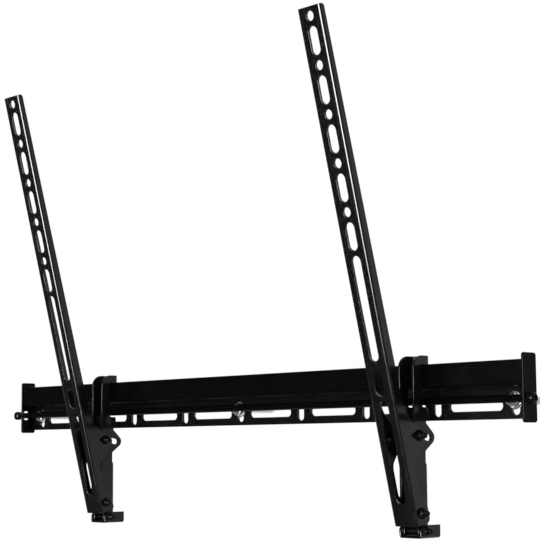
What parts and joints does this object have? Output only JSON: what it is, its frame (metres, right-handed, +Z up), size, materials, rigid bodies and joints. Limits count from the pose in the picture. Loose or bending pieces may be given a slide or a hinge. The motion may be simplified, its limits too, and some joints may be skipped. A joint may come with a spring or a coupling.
{
  "type": "tilting tv wall mount",
  "caption": "Slotted wall rail with a lock rod, carrying hooked perforated arms that slide along it and tilt a flat screen forward.",
  "frame": {"origin": "on the wall plane, at the middle of the rail's length and height", "axes": "+X along the rail to the right, +Y into the wall, +Z up; the screen side is -Y"},
  "size_m": [0.8957, 0.2255, 0.5329],
  "materials": {
    "black_coat": "black semi-gloss powder coat",
    "black_screw": "black oxide steel",
    "zinc": "bright zinc plate",
    "spacer": "black nylon"
  },
  "bodies": {
    "rail": {"wall_rail": "black_coat", "end_plate_left": "black_coat", "end_plate_right": "black_coat", "lag_bolt_left": "zinc", "lag_bolt_centre": "zinc", "lag_bolt_right": "zinc", "lag_washer_left": "zinc", "lag_washer_centre": "zinc", "lag_washer_right": "zinc"},
    "rod": {"lock_rod": "black_coat", "rod_head_screw": "black_screw"},
    "hook_left": {"hook_bracket_left": "black_coat", "foot_bracket_left": "black_coat", "foot_bolt_left": "black_screw", "foot_nut_left": "black_screw", "foot_spacer_head_left": "spacer", "foot_spacer_nut_left": "spacer"},
    "arm_left": {"arm_channel_left": "black_coat", "pivot_bolt_left": "black_screw", "pivot_nut_left": "black_screw", "pivot_spacer_head_left": "spacer", "pivot_spacer_nut_left": "spacer", "tilt_bolt_left": "black_screw", "tilt_nut_left": "black_screw", "tilt_spacer_head_left": "spacer", "tilt_spacer_nut_left": "spacer"},
    "hook_right": {"hook_bracket_right": "black_coat", "foot_bracket_right": "black_coat", "foot_bolt_right": "black_screw", "foot_nut_right": "black_screw", "foot_spacer_head_right": "spacer", "foot_spacer_nut_right": "spacer"},
    "arm_right": {"arm_channel_right": "black_coat", "pivot_bolt_right": "black_screw", "pivot_nut_right": "black_screw", "pivot_spacer_head_right": "spacer", "pivot_spacer_nut_right": "spacer", "tilt_bolt_right": "black_screw", "tilt_nut_right": "black_screw", "tilt_spacer_head_right": "spacer", "tilt_spacer_nut_right": "spacer"}
  },
  "joints": [
    {"name": "rod_slide", "type": "slide", "parent": "rail", "child": "rod", "axis": [1, 0, 0], "range_m": [-0.0055, 0.9]},
    {"name": "slide_left", "type": "slide", "parent": "rail", "child": "hook_left", "axis": [1, 0, 0], "range_m": [-0.14, 0.2]},
    {"name": "tilt_left", "type": "hinge", "parent": "hook_left", "child": "arm_left", "pos_m": [-0.2415, -0.0295, -0.123], "axis": [1, 0, 0], "range_deg": [-14.4, 0]},
    {"name": "slide_right", "type": "slide", "parent": "rail", "child": "hook_right", "axis": [1, 0, 0], "range_m": [-0.24, 0.1]},
    {"name": "tilt_right", "type": "hinge", "parent": "hook_right", "child": "arm_right", "pos_m": [0.2885, -0.0295, -0.123], "axis": [1, 0, 0], "range_deg": [-14.4, 0]}
  ]
}
